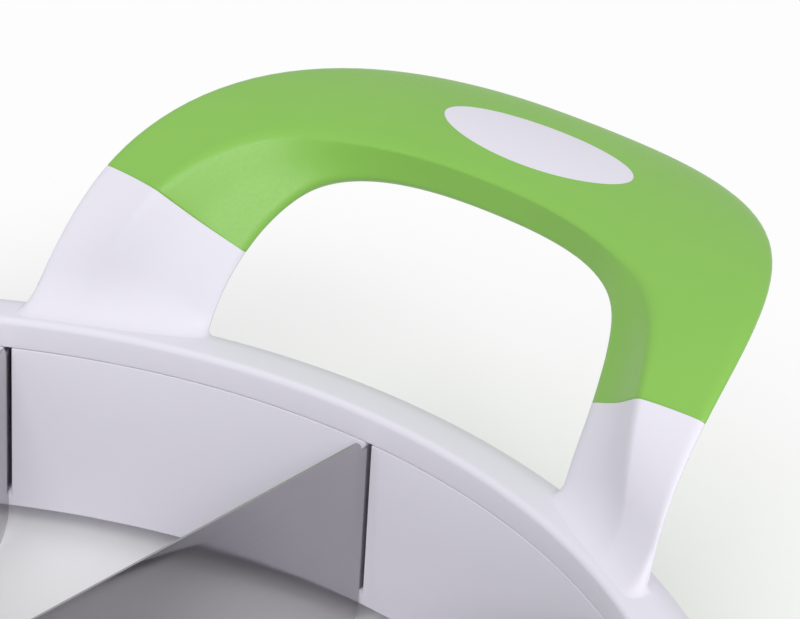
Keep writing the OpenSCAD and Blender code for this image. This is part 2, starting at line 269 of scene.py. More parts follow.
class SlicerStage(PropertyGroup):
    heading: angle("Heading", "Direction that the camera looks along, from +X", 40.5)
    elevation: angle("Elevation", "Height of the camera's view above level", 28.16)
    roll: angle("Roll", "Turn of the camera about its view", 1.5)
    offset: spot(
        "Camera place",
        "Camera from the ring's middle at the seam, in its own right, up and back directions",
        (0.0894, 0.0651, 0.6554),
    )
    lens: FloatProperty(name="Lens", description="Focal length in millimetres", default=210.0)
    key: FloatProperty(name="Key", description="Power of the key lamp", default=3.8, unit="POWER")
    key_size: size("Key size", "Side of the key lamp", 0.35)
    key_place: spot("Key place", "Key lamp, with +Y along the heading", (0.59, -1.03, 1.07))
    front: FloatProperty(name="Front", description="Power of the front lamp", default=10.6, unit="POWER")
    front_size: size("Front size", "Side of the front lamp", 0.8)
    front_place: spot("Front place", "Front lamp, with +Y along the heading", (-0.12, -1.3, 0.93))
    sky: share("Sky", "Strength of the even light from all round", 0.69)
    fade_start: size("Fade start", "Distance from the axis at which the floor begins to whiten", 0.15)
    fade_end: size("Fade end", "Distance from the axis at which the floor is whitest", 0.27)
    whiteness: share("Whiteness", "Share of plain white in the floor far out", 0.85)


class SlicerSettings(PropertyGroup):
    ring: PointerProperty(type=SlicerRing)
    carrier: PointerProperty(type=SlicerCarrier)
    blades: PointerProperty(type=SlicerBlades)
    core: PointerProperty(type=SlicerCore)
    handles: PointerProperty(type=SlicerHandles)
    grips: PointerProperty(type=SlicerGrips)
    screws: PointerProperty(type=SlicerScrews)
    colours: PointerProperty(type=SlicerColours)
    stage: PointerProperty(type=SlicerStage)


def settings():
    """The slicer's settings in the scene."""
    return bpy.context.scene.slicer


# Modelling helpers


def deselect():
    """Leaves edit mode and selects nothing."""
    if bpy.context.object and bpy.context.object.mode != "OBJECT":
        bpy.ops.object.mode_set(mode="OBJECT")
    bpy.ops.object.select_all(action="DESELECT")


def only(*pieces):
    """Selects pieces alone and makes the first active."""
    deselect()
    for piece in pieces:
        piece.select_set(True)
    bpy.context.view_layer.objects.active = pieces[0]


def mix(a, b, t):
    """Value at a share of the way from one to another."""
    return a + (b - a) * t


def clamp(value):
    """Value held between 0 and 1."""
    return min(max(value, 0), 1)


def arc(centre, radius, start, end, steps=ARC_STEPS):
    """Points of an arc in a profile, with its angles in degrees."""
    angles = [radians(mix(start, end, i / steps)) for i in range(steps + 1)]
    return [(centre[0] + radius * cos(a), centre[1] + radius * sin(a)) for a in angles]


def outline(points, filled=False):
    """Starts a piece from a circle whose points are set out as a closed outline, and stays in edit mode."""
    deselect()
    fill = "NGON" if filled else "NOTHING"
    bpy.ops.mesh.primitive_circle_add(vertices=len(points), fill_type=fill, enter_editmode=True)
    piece = bpy.context.object
    mesh = bmesh.from_edit_mesh(piece.data)
    for vertex, point in zip(mesh.verts, points):
        vertex.co = point
    bmesh.update_edit_mesh(piece.data)
    bpy.ops.mesh.select_all(action="SELECT")
    return piece


def close_up():
    """Merges doubles, turns the faces outwards and leaves edit mode."""
    bpy.ops.mesh.select_all(action="SELECT")
    bpy.ops.mesh.remove_doubles(threshold=MERGE)
    bpy.ops.mesh.normals_make_consistent(inside=False)
    bpy.ops.object.mode_set(mode="OBJECT")


def lathe(profile, steps):
    """Spins a closed profile of radii and heights about the ring's axis."""
    piece = outline([Vector((r, 0, z)) for r, z in profile])
    bpy.ops.mesh.spin(steps=steps, angle=FULL_TURN, center=(0, 0, 0), axis=(0, 0, 1), use_auto_merge=True)
    close_up()
    return piece


def prism(points, way):
    """Extrudes a closed outline along a straight way."""
    piece = outline(points, filled=True)
    bpy.ops.mesh.extrude_region_move(TRANSFORM_OT_translate={"value": way})
    close_up()
    return piece


def slab(profile, thickness):
    """Extrudes an outline of radii and heights to both sides of the XZ plane."""
    return prism([Vector((r, -thickness / 2, z)) for r, z in profile], (0, thickness, 0))


def loft(rings, sleeve=False):
    """Extrudes a ring of points from station to station, and closes the ends or joins last to first."""
    piece = outline(rings[0])
    mesh = bmesh.from_edit_mesh(piece.data)
    place = mesh.verts.layers.int.new("place")
    for number, vertex in enumerate(mesh.verts):
        vertex[place] = number
    bmesh.update_edit_mesh(piece.data)
    for ring in rings[1:] + (rings[:1] if sleeve else []):
        bpy.ops.mesh.extrude_edges_indiv()
        mesh = bmesh.from_edit_mesh(piece.data)
        place = mesh.verts.layers.int["place"]
        for vertex in mesh.verts:
            if vertex.select:
                vertex.co = ring[vertex[place]]
        bmesh.update_edit_mesh(piece.data)
    bpy.ops.mesh.select_all(action="SELECT")
    bpy.ops.mesh.remove_doubles(threshold=MERGE)
    if not sleeve:
        bpy.ops.mesh.select_all(action="SELECT")
        bpy.ops.mesh.fill_holes(sides=0)
    close_up()
    piece.data.attributes.remove(piece.data.attributes["place"])
    return piece


def turned_copy(piece, turn):
    """A copy with its own mesh, turned about the ring's axis."""
    copy = piece.copy()
    copy.data = piece.data.copy()
    copy.data.transform(Matrix.Rotation(turn, 4, "Z"))
    bpy.context.scene.collection.objects.link(copy)
    return copy


def turned_set(first, turns):
    """Copies of a piece at each turn about the ring's axis, in its stead and as one object."""
    copies = [turned_copy(first, turn) for turn in turns]
    bpy.data.objects.remove(first)
    only(*copies)
    bpy.ops.object.join()
    return copies[0]


def apply(piece, kind, **values):
    """Gives a piece a modifier and applies it."""
    only(piece)
    change = piece.modifiers.new(kind.title(), kind)
    for key, value in values.items():
        setattr(change, key, value)
    bpy.ops.object.modifier_apply(modifier=change.name)


def carve(piece, tool, operation):
    """Unites, cuts or intersects a piece with a tool, which is used up."""
    apply(piece, "BOOLEAN", operation=operation, solver="EXACT", object=tool)
    bpy.data.objects.remove(tool)


def carve_at_blades(piece, profile, thickness, operation):
    """Unites or cuts a piece with a slab at each blade."""
    carve(piece, turned_set(slab(profile, thickness), round_the_ring(len(blade_names))), operation)


def break_edges(piece, width):
    """Rounds every sharp edge."""
    apply(piece, "BEVEL", width=width, segments=BEVEL_STEPS, limit_method="ANGLE", angle_limit=BREAK_ANGLE)


def finish_piece(piece, node, material, smooth=SHADE_ANGLE):
    """Shades a piece, gives it its finish and has it stand for its node."""
    only(piece)
    bpy.ops.object.shade_smooth_by_angle(angle=smooth)
    piece.data.materials.clear()
    piece.data.materials.append(material)
    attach(piece, "root")
    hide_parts(node)
    piece.name = node + "_look"


def round_the_ring(count, start=0.0):
    """Angles of places spread evenly round the ring."""
    return [start + FULL_TURN * i / count for i in range(count)]


# Forms


class HandleForm:
    """The handle's skin: a ridged bar along an arch that rises from the rim and bends outwards."""

    def __init__(self):
        grips = settings().grips
        for group in (settings().ring, settings().handles):
            for key in group.__annotations__:
                setattr(self, key, getattr(group, key))
        self.grip_start = grips.start
        self.grip_t = grips.thick
        self.foot_r = self.clear_r + self.foot_out
        self.foot_z = seam_z + self.foot_rise
        self.top_z = seam_z + self.rim_h
        self.lip_r = self.clear_r + self.lip_lean

    def slope(self, w):
        """Slope of the middle surface at a length up the legs."""
        return self.leg_slope - max(w - self.leg_straight, 0) / self.bend_r

    def rise(self, w):
        """Radius and height of the middle surface at a length up the legs."""
        low, tilt = min(w, self.leg_straight), self.slope(w)
        r = self.foot_r + low * cos(self.leg_slope)
        z = self.foot_z + low * sin(self.leg_slope)
        r += self.bend_r * (sin(self.leg_slope) - sin(tilt))
        z += self.bend_r * (cos(tilt) - cos(self.leg_slope))
        return r, z

    def point(self, s, w, n):
        """Place at s along the rim, w up the legs and n out of the middle surface."""
        middle_r, z = self.rise(w)
        tilt = self.slope(w)
        turn = asin(s / middle_r)
        r = middle_r - n * sin(tilt)
        return Vector((r * cos(turn), r * sin(turn), z + n * cos(tilt)))

    def arch(self, a):
        """Point of the arch that the middle line follows over the middle surface."""
        reach = abs(cos(a) / self.arch_half) ** self.arch_power
        reach += abs(sin(a) / self.arch_rise) ** self.arch_power
        return Vector((-cos(a), sin(a))) * reach ** (-1 / self.arch_power)

    def outward(self, a):
        """Direction across the arch, leaning with the grip's rake."""
        along = self.arch(a + LEAN_STEP) - self.arch(a - LEAN_STEP)
        lean = atan2(along.x, -along.y) - self.rake * sin(2 * a)
        return Vector((cos(lean), sin(lean)))

    def section(self, a, w, inset):
        """Control points of the section: a broad outer facet and a gap facet that meet at a ridge."""
        t = clamp(w / self.arch_rise) ** 2
        fade = clamp(w / self.foot_fade)
        grown = fade * fade * (3 - 2 * fade)
        splay = self.foot_splay * clamp(1 - w / self.splay_fade) ** 2
        half = mix(self.leg_half, self.bar_half, t) + self.corner_swell * sin(2 * a) ** 2 - inset
        outer = half + self.leg_more * (1 - t) + splay
        top = mix(self.foot_ridge, self.ridge_h, grown) - inset
        gap_drop = mix(self.foot_gap_drop, mix(self.leg_gap_drop, self.bar_gap_drop, t), grown)
        back = inset - mix(self.foot_back, mix(self.leg_back, self.bar_back, t), grown)
        ridge = Vector((half * mix(self.leg_ridge, self.bar_ridge, t), top))
        shoulder = Vector((outer, top * mix(self.leg_shoulder, self.bar_shoulder, t)))
        side = max(mix(self.leg_side, self.bar_side, t) - SIDE_INSET * inset, self.leg_side)
        gap_edge = Vector((-half, inset / 2 - gap_drop))
        broad = (ridge + shoulder) / 2
        hollow = mix(self.leg_hollow, self.bar_hollow, t) * grown
        knee = ridge.lerp(gap_edge, self.facet_share) - Vector((0, hollow))
        return [
            ridge,
            ridge.lerp(broad, self.ridge_share),
            broad,
            broad.lerp(shoulder, self.edge_share * (1 - t)),
            shoulder,
            shoulder - Vector((0, side)),
            Vector((outer * self.back_share, back)),
            Vector((-half * self.back_share, back)),
            gap_edge,
            knee,
            ridge.lerp(knee, self.ridge_share),
        ]

    def ring(self, a, inset=0.0):
        """Ring of points of the skin at an angle round the arch."""
        middle = self.arch(a)
        out = self.outward(a)
        control = self.section(a, middle.y, inset)
        points = []
        for i, here in enumerate(control):
            before = (control[i - 1] + here) / 2
            after = (here + control[(i + 1) % len(control)]) / 2
            for step in range(SECTION_STEPS):
                t = step / SECTION_STEPS
                p = before * (1 - t) ** 2 + here * (2 * t * (1 - t)) + after * t * t
                points.append(self.point(middle.x + out.x * p.x, middle.y + out.y * p.x, p.y))
        return points

    def over_rim(self, place):
        """Distance of a place from the rim's outer skin, and the way out of that skin."""
        r = hypot(place.x, place.y)
        middle, half = (self.lip_r + ring_r) / 2, (ring_r - self.lip_r) / 2
        side = 1 if r > middle else -1
        corner = self.rim_round if side > 0 else self.crease_r
        across, up = abs(r - middle) - half + corner, place.z - self.top_z + corner
        if across > 0 and up > 0:
            reach = hypot(across, up)
            way, distance = Vector((side * across / reach, up / reach)), reach - corner
        elif up > across:
            way, distance = Vector((0, 1)), up - corner
        else:
            way, distance = Vector((side, 0)), across - corner
        return distance, Vector((way.x * place.x / r, way.x * place.y / r, way.y))

    def rings(self, start, end, steps, inset=0.0):
        """Rings of the skin at even steps round the arch."""
        return [self.ring(mix(start, end, i / steps), inset) for i in range(steps + 1)]

    def facing(self, top, place, normal):
        """How far a foot's skin faces the ring's axis, less towards the finger gap."""
        inward = -Vector((top.x, top.y, 0)).normalized()
        gap_side = max((place.y + self.arch_half) / self.leg_half, 0)
        return max(normal.dot(inward), 0) ** 2 * max(1 - gap_side**2, 0)

    def foot_rings(self):
        """Rings of the left leg's foot, from inside the rim up through the fillet to the plain leg."""
        ladder = self.rings(self.foot_top, FOOT_BELOW, FOOT_STEPS)
        count = len(ladder[0])
        rows = [[] for _ in range(FILLET_STEPS + SHANK_STEPS + 2)]
        for k in range(count):
            line = [ring[k] for ring in ladder]
            heights = [self.over_rim(p)[0] for p in line]
            low = next(n for n in range(FOOT_STRIDE, FOOT_STEPS) if heights[n] < self.face_fillet)
            beside = ladder[low][(k + 1) % count] - ladder[low][k - 1]
            normal = (line[low] - line[low - FOOT_STRIDE]).cross(beside).normalized()
            facing = self.facing(line[0], line[low], normal)
            fillet = mix(self.side_fillet, self.face_fillet, facing)
            tall = mix(1, self.fillet_rise, facing)
            for j in range(FILLET_STEPS + 1):
                turn = FILLET_TURN * j / FILLET_STEPS
                level = fillet * tall * (1 - sin(turn))
                spread = fillet * (1 - cos(turn))
                i = next(n for n in range(FOOT_STEPS) if heights[n + 1] < level)
                part = (heights[i] - level) / (heights[i] - heights[i + 1])
                place = line[i].lerp(line[i + 1], part)
                if j == 0:
                    for n in range(1, SHANK_STEPS):
                        rung = (i + part) * (1 - n / SHANK_STEPS)
                        at = int(rung)
                        rows[FILLET_STEPS + 2 + n].append(line[at].lerp(line[at + 1], rung - at))
                away = self.over_rim(place)[1]
                place = place + (normal - away * normal.dot(away)).normalized() * spread
                distance, away = self.over_rim(place)
                rows[FILLET_STEPS + 2 - j].append(place - away * (distance - level))
            sunk = rows[2][-1] - self.over_rim(rows[2][-1])[1] * self.side_fillet
            rows[1].append(sunk)
            rows[0].append(sunk - Vector((0, 0, self.foot_back)))
        return rows

    def leg_rings(self):
        """Rings of the plain left leg, up to the grip."""
        return self.rings(self.foot_top, self.grip_start, LEG_STEPS)

    def bar_rings(self, inset):
        """Rings from one end of the grip to the other."""
        return self.rings(self.grip_start, pi - self.grip_start, BAR_STEPS, inset)


def mirrored(rings):
    """The same rings on the other leg, in the order that follows on."""
    return [[Vector((p.x, -p.y, p.z)) for p in ring] for ring in reversed(rings)]


def oval_column(form, gap):
    """The upright oval that bounds the pad and the window."""
    grips = settings().grips
    middle_r, middle_z = form.rise(form.arch_rise)
    across, along = grips.oval_w / 2 + gap, grips.oval_l / 2 + gap
    points = [
        Vector((middle_r - grips.oval_in + across * cos(a), along * sin(a), middle_z))
        for a in round_the_ring(OVAL_STEPS)
    ]
    return prism(points, (0, 0, 2 * form.ridge_h))


def rim_profile():
    """Section of the rim and its skirt."""
    ring = settings().ring
    r, top_z, soft = ring.clear_r, seam_z + ring.rim_h, ring.seam_round
    crease, rest = ring.crease_r, ring.rest_round
    groove_z, skirt_r = seam_z + ring.seam_gap, ring_r - ring.skin
    shoulder = (ring_r - ring.rim_round, top_z - ring.rim_round)
    return [
        (r + ring.seam_deep, seam_z),
        (r + ring.seam_deep, groove_z),
        *arc((r + soft, groove_z + soft), soft, 270, 180, EDGE_STEPS),
        *arc((r + ring.lip_lean + crease, top_z - crease), crease, 180, 90),
        *arc(shoulder, ring.rim_round, 90, 0, 2 * ARC_STEPS),
        *arc((ring_r - rest, rest), rest, 0, -90, EDGE_STEPS),
        *arc((skirt_r + rest, rest), rest, -90, -180, EDGE_STEPS),
        *arc(shoulder, ring.rim_round - ring.skin, 0, 90),
        (r + ring.skin, top_z - ring.skin),
        (r + ring.skin, seam_z),
    ]


def inside_rim_profile():
    """Section of the room under the middle of the rim's skin."""
    ring = settings().ring
    top_z = seam_z + ring.rim_h
    shoulder = (ring_r - ring.rim_round, top_z - ring.rim_round)
    return [
        (ring.clear_r / 2, 0),
        (ring_r - ring.skin / 2, 0),
        *arc(shoulder, ring.rim_round - ring.skin / 2, 0, 90),
        (ring.clear_r / 2, top_z - ring.skin / 2),
    ]


def at_screws(first):
    """Copies of a piece at each screw, midway between two blades and in the middle of the rim."""
    first.data.transform(Matrix.Translation(((settings().ring.clear_r + ring_r) / 2, 0, 0)))
    return turned_set(first, round_the_ring(settings().screws.count, pi / len(blade_names)))


def bosses():
    """The bosses under the rim that take the screws, each with a bore for its shank."""
    ring, screws, carrier = settings().ring, settings().screws, settings().carrier
    low, top = wall_z + carrier.flange_t, seam_z + ring.rim_h - ring.skin / 2
    wall, bore = screws.boss_d / 2, screws.shank_d / 2
    profile = [(bore, low), (wall, low), (wall, top), (0, top), (0, screws_high.z), (bore, screws_high.z)]
    return at_screws(lathe(profile, SCREW_STEPS))


def carrier_profile():
    """Section of the carrier's wall and bottom flange."""
    ring, carrier = settings().ring, settings().carrier
    low_r, soft, foot = ring.clear_r - carrier.wall_draft, ring.seam_round, carrier.wall_round
    return [
        *arc((low_r + foot, wall_z + foot), foot, 180, 270, EDGE_STEPS),
        (flange_r, wall_z),
        (flange_r, wall_z + carrier.flange_t),
        (low_r + ring.skin, wall_z + carrier.flange_t),
        (ring.clear_r + ring.skin, seam_z),
        *arc((ring.clear_r + soft, seam_z - soft), soft, 90, 180, EDGE_STEPS),
    ]


def blade_outline():
    """Outline of a blade in its own plane, from the core ring to its tab."""
    ring, carrier, blades, core = settings().ring, settings().carrier, settings().blades, settings().core
    edge_z, spine_z, floor_z = blade_low.z, blade_high.z, wall_z + carrier.slot_floor
    body_r = ring.clear_r - carrier.wall_draft - blades.tab_gap
    step_r, tab_z = ring.clear_r - blades.step_gap, seam_z - blades.tab_drop
    lap_in, lap_out = core_high.x - core.wall_t - core.lap_gap, core_high.x + core.lap_gap
    lap_z, corner, spine = edge_z + core.lap_h, blades.corner_r, blades.spine_round
    return [
        (blade_low.x, edge_z),
        (lap_in, edge_z),
        (lap_in, lap_z),
        (lap_out, lap_z),
        (lap_out, edge_z),
        *arc((body_r - corner, edge_z + corner), corner, -90, 0),
        (body_r, floor_z),
        (blade_high.x, floor_z),
        (blade_high.x, tab_z),
        (step_r, tab_z),
        *arc((step_r - spine, spine_z - spine), spine, 0, 90),
        (blade_low.x, spine_z),
    ]


# Finishes


def link(tree, node, links):
    """Links a node's inputs from other nodes' outputs, or sets their values."""
    for key, source in links.items():
        if hasattr(source, "is_output"):
            tree.links.new(source, node.inputs[key])
        else:
            node.inputs[key].default_value = source


def add_node(tree, kind, links=None, **values):
    """Adds a node with its values and links, and gives its outputs."""
    node = tree.nodes.new(kind)
    for key, value in values.items():
        setattr(node, key, value)
    link(tree, node, links or {})
    return node.outputs


def noise(tree, place, scale, detail):
    """Adds a noise and gives its output."""
    return add_node(tree, "ShaderNodeTexNoise", {"Vector": place, "Scale": scale, "Detail": detail})["Fac"]


def calculate(tree, operation, first, second, **values):
    """Adds a sum, product or comparison and gives its output."""
    pair = {0: first, 1: second}
    return add_node(tree, "ShaderNodeMath", pair, operation=operation, **values)["Value"]


def new_finish(name, *scales):
    """An empty finish group: place, colours, scales and gloss in; colour, roughness and height out."""
    group = bpy.data.node_groups.new(name, "ShaderNodeTree")
    place, colour, number = "NodeSocketVector", "NodeSocketColor", "NodeSocketFloat"
    numbers = dict.fromkeys((*scales, "Gloss Low", "Gloss High"), number)
    for way, sockets in (
        ("INPUT", {"Vector": place, "Colour": colour, "Deep": colour, **numbers}),
        ("OUTPUT", {"Colour": colour, "Roughness": number, "Height": number}),
    ):
        for title, kind in sockets.items():
            group.interface.new_socket(title, in_out=way, socket_type=kind)
    return group, group.nodes.new("NodeGroupInput").outputs


def end_finish(group, given, tone, dullness, height):
    """Lets noises choose a finish group's colour and gloss between its two of each, and give its height."""
    colours = {6: given["Colour"], 7: given["Deep"], 0: tone}
    shade = add_node(group, "ShaderNodeMix", colours, data_type="RGBA")[2]
    spread = {
        "Value": dullness, "From Min": NOISE_LOW, "From Max": NOISE_HIGH,
        "To Min": given["Gloss Low"], "To Max": given["Gloss High"],
    }
    gloss = add_node(group, "ShaderNodeMapRange", spread)["Result"]
    out = group.nodes.new("NodeGroupOutput")
    link(group, out, {"Colour": shade, "Roughness": gloss, "Height": height})
    return group


def moulded_finish():
    """Tint drift, gloss drift and fine grain of a moulded surface, for plastic and soft grip alike."""
    found = bpy.data.node_groups.get("Moulded Finish")
    if found:
        return found
    group, given = new_finish("Moulded Finish", "Drift Scale", "Grain Scale")
    drift = noise(group, given["Vector"], given["Drift Scale"], detail=3.0)
    grain = noise(group, given["Vector"], given["Grain Scale"], detail=2.0)
    return end_finish(group, given, drift, grain, grain)


def drawn_steel():
    """Fine lines and cloudiness of worked steel, along the first direction of its vector."""
    found = bpy.data.node_groups.get("Drawn Steel")
    if found:
        return found
    group, given = new_finish("Drawn Steel", "Along", "Across")
    ways = {"X": given["Along"], "Y": given["Across"], "Z": given["Across"]}
    stretch = add_node(group, "ShaderNodeCombineXYZ", ways)["Vector"]
    pair = {0: given["Vector"], 1: stretch}
    drawn = add_node(group, "ShaderNodeVectorMath", pair, operation="MULTIPLY")["Vector"]
    lines = noise(group, drawn, scale=1.0, detail=3.0)
    clouds = noise(group, given["Vector"], scale=60.0, detail=4.0)
    return end_finish(group, given, lines, clouds, lines)


def new_material(name):
    """A material with only its shader and output."""
    made = bpy.data.materials.new(name)
    made.use_nodes = True
    tree = made.node_tree
    return made, tree, tree.nodes["Principled BSDF"]


def wear(tree, shader, group, place, tones, gloss, scales, bump, **shading):
    """Has a shader wear a finish group, with its height as a bump, and gives its roughness."""
    values = {
        "Vector": place, "Colour": tones[0], "Deep": tones[1],
        "Gloss Low": gloss[0], "Gloss High": gloss[1], **scales,
    }
    finish = add_node(tree, "ShaderNodeGroup", values, node_tree=group)
    relief = {"Height": finish["Height"], "Strength": bump[0], "Distance": bump[1]}
    normal = add_node(tree, "ShaderNodeBump", relief)["Normal"]
    colour, roughness = finish["Colour"], finish["Roughness"]
    link(tree, shader, {"Base Color": colour, "Roughness": roughness, "Normal": normal, **shading})
    return roughness


def finished(name, group, **looks):
    """A material that wears a finish group by the object's own coordinates, made once."""
    found = bpy.data.materials.get(name)
    if found:
        return found
    made, tree, shader = new_material(name)
    wear(tree, shader, group, add_node(tree, "ShaderNodeTexCoord")["Object"], **looks)
    return made


def white_plastic():
    """Satin moulded plastic of the frame and the carrier."""
    colours = settings().colours
    return finished(
        "Satin White Plastic", moulded_finish(), tones=(colours.white, colours.white_deep),
        gloss=(0.54, 0.62), scales={"Drift Scale": 22.0, "Grain Scale": 1500.0},
        bump=(0.04, 0.0002), IOR=1.42,
    )


def soft_grip():
    """Smooth soft-touch grip."""
    colours = settings().colours
    return finished(
        "Green Soft Grip", moulded_finish(), tones=(colours.green, colours.green_deep), gloss=(0.36, 0.46),
        scales={"Drift Scale": 30.0, "Grain Scale": 2200.0}, bump=(0.06, 0.0002), IOR=1.48,
    )


def tube_steel():
    """Polished tube of the core ring."""
    colours = settings().colours
    return finished(
        "Polished Tube Steel", drawn_steel(), tones=(colours.steel, colours.steel_deep), gloss=(0.08, 0.16),
        scales={"Along": 60.0, "Across": 60.0}, bump=(0.03, 0.0001), Metallic=1.0,
    )


def plated_steel():
    """Bright plating of the screws."""
    colours = settings().colours
    return finished(
        "Bright Plated Steel", drawn_steel(), tones=(colours.zinc, colours.zinc_deep), gloss=(0.18, 0.3),
        scales={"Along": 700.0, "Across": 700.0}, bump=(0.05, 0.0001), Metallic=1.0,
    )


def blade_steel():
    """Polished sheet with drawing lines along the blade, and dull sheared edges."""
    colours = settings().colours
    made, tree, shader = new_material("Polished Blade Steel")
    sheet = add_node(tree, "ShaderNodeUVMap", uv_map="sheet")["UV"]
    polish = wear(
        tree, shader, drawn_steel(), sheet, tones=(colours.steel, colours.steel_deep), gloss=(0.05, 0.12),
        scales={"Along": 25.0, "Across": 5200.0}, bump=(0.006, 0.0001), Metallic=1.0,
    )
    place = add_node(tree, "ShaderNodeSeparateXYZ", {"Vector": sheet})["Y"]
    sheared = calculate(tree, "GREATER_THAN", place, SHEARED_UV / 2)
    both = {"Factor": sheared, "A": polish, "B": SHEARED_ROUGHNESS}
    link(tree, shader, {"Roughness": add_node(tree, "ShaderNodeMix", both)["Result"]})
    return made


def pale_floor():
    """Plain pale floor that runs out to white away from the object."""
    stage = settings().stage
    made, tree, shader = new_material("Pale Floor")
    place = add_node(tree, "ShaderNodeTexCoord")["Object"]
    spread = {"Value": noise(tree, place, scale=3.0, detail=2.0), "To Min": 0.7, "To Max": 0.8}
    tone = add_node(tree, "ShaderNodeMapRange", spread)["Result"]
    colour = settings().colours.floor
    link(tree, shader, {"Base Color": colour, "Specular IOR Level": 0.0, "Roughness": tone})
    reach = add_node(tree, "ShaderNodeVectorMath", {0: place}, operation="LENGTH")["Value"]
    fade = {
        "Value": reach, "From Min": stage.fade_start, "From Max": stage.fade_end, "To Max": stage.whiteness,
    }
    far = add_node(tree, "ShaderNodeMapRange", fade, interpolation_type="SMOOTHSTEP")["Result"]
    path = add_node(tree, "ShaderNodeLightPath")
    seen = calculate(tree, "ADD", path["Is Camera Ray"], path["Is Glossy Ray"])
    shown = calculate(tree, "ADD", seen, path["Is Transmission Ray"], use_clamp=True)
    part = calculate(tree, "MULTIPLY", far, shown)
    white = add_node(tree, "ShaderNodeEmission", {"Color": (1, 1, 1, 1), "Strength": 1.0})["Emission"]
    blend = {0: part, 1: shader.outputs["BSDF"], 2: white}
    surface = add_node(tree, "ShaderNodeMixShader", blend)["Shader"]
    link(tree, tree.nodes["Material Output"], {"Surface": surface})
    return made


# Operators


class SLICER_OT_top_frame(Operator):
    """Models the rim, its skirt and both handles as one moulding"""

    bl_idname = "slicer.top_frame"
    bl_label = "Top Frame"

    def execute(self, context):
        form = HandleForm()
        foot, leg, bar = form.foot_rings(), form.leg_rings(), form.bar_rings(form.grip_t)
        handle = loft(foot + leg + bar + mirrored(leg) + mirrored(foot))
        third = BAR_STEPS // 3
        pad = loft(form.bar_rings(0.0)[third : BAR_STEPS - third + 1])
        carve(pad, oval_column(form, 0.0), "INTERSECT")
        carve(handle, pad, "UNION")
        carve(handle, lathe(inside_rim_profile(), RING_STEPS), "DIFFERENCE")
        other = turned_copy(handle, pi)
        piece = lathe(rim_profile(), RING_STEPS)
        carve(piece, handle, "UNION")
        carve(piece, other, "UNION")
        carve(piece, bosses(), "UNION")
        finish_piece(piece, "top_frame", white_plastic())
        return {"FINISHED"}


class SLICER_OT_grips(Operator):
    """Models the soft grips as sleeves with an oval window"""

    bl_idname = "slicer.grips"
    bl_label = "Grips"

    def execute(self, context):
        form = HandleForm()
        soft = settings().grips.end_round
        quarter = [pi / 2 * i / EDGE_STEPS for i in range(EDGE_STEPS + 1)]
        end = [
            form.ring(form.grip_start + soft * (1 - cos(a)) / form.arch_half, soft * (1 - sin(a)))
            for a in quarter
        ]
        outer = form.bar_rings(0.0)[1:-1]
        inner = list(reversed(form.bar_rings(form.grip_t)))
        piece = loft(end + outer + mirrored(end) + inner, sleeve=True)
        carve(piece, oval_column(form, settings().grips.oval_gap), "DIFFERENCE")
        other = turned_copy(piece, pi)
        material = soft_grip()
        finish_piece(piece, "right_grip", material)
        finish_piece(other, "left_grip", material)
        return {"FINISHED"}


class SLICER_OT_carrier(Operator):
    """Models the slotted carrier that holds the blades"""

    bl_idname = "slicer.carrier"
    bl_label = "Blade Carrier"

    def execute(self, context):
        ring, carrier, blades = settings().ring, settings().carrier, settings().blades
        low_r, floor_z = ring.clear_r - carrier.wall_draft, wall_z + carrier.slot_floor
        pocket_r = ring.clear_r + ring.skin + carrier.pocket_d
        slot_r, tab_z = pocket_r - ring.skin / 2, seam_z - blades.tab_drop
        flange_z = wall_z + carrier.flange_t / 2
        pocket = [
            (low_r + ring.skin / 2, flange_z),
            (pocket_r, flange_z),
            (pocket_r, tab_z),
            (ring.clear_r + ring.skin / 2, tab_z),
        ]
        slot = [
            (low_r - OVER, seam_z + OVER),
            (slot_r, seam_z + OVER),
            (slot_r, floor_z),
            (low_r + carrier.slot_chamfer, floor_z),
            (low_r - OVER, floor_z - carrier.slot_chamfer - OVER),
        ]
        piece = lathe(carrier_profile(), RING_STEPS)
        carve_at_blades(piece, pocket, carrier.slot_w + ring.skin, "UNION")
        carve_at_blades(piece, slot, carrier.slot_w, "DIFFERENCE")
        break_edges(piece, carrier.edge_soft)
        finish_piece(piece, "blade_carrier", white_plastic())
        return {"FINISHED"}


class SLICER_OT_blades(Operator):
    """Models one blade with its ground edge and copies it round the ring"""

    bl_idname = "slicer.blades"
    bl_label = "Blades"

    def execute(self, context):
        blades = settings().blades
        first = slab(blade_outline(), blade_t)
        only(first)
        bpy.ops.object.mode_set(mode="EDIT")
        bevel_z, roll_z = blade_low.z + blades.bevel_h, blade_high.z - blades.roll_h
        rolls = [roll_z + blades.roll_h * i / ROLL_STEPS for i in range(ROLL_STEPS)]
        for height in (bevel_z, *rolls):
            bpy.ops.mesh.select_all(action="SELECT")
            bpy.ops.mesh.bisect(plane_co=(0, 0, height), plane_no=(0, 0, 1))
        mesh = bmesh.from_edit_mesh(first.data)
        mesh.normal_update()
        sheet = mesh.loops.layers.uv.new("sheet")
        for face in mesh.faces:
            sheared = SHEARED_UV if abs(face.normal.y) < SHEARED_TURN else 0.0
            for corner in face.loops:
                corner[sheet].uv = (corner.vert.co.x, corner.vert.co.z + sheared)
        for vertex in mesh.verts:
            ground = clamp((bevel_z - vertex.co.z) / blades.bevel_h)
            rolled = clamp((vertex.co.z - roll_z) / blades.roll_h) ** 2
            half = mix(blade_t, blades.edge_t, ground) / 2 - blades.roll_d * rolled
            vertex.co.y = copysign(half, vertex.co.y)
        bmesh.update_edit_mesh(first.data)
        bpy.ops.object.mode_set(mode="OBJECT")
        material = blade_steel()
        for name, turn in zip(blade_names, round_the_ring(len(blade_names))):
            finish_piece(turned_copy(first, turn), name, material, BLADE_ANGLE)
        bpy.data.objects.remove(first)
        return {"FINISHED"}


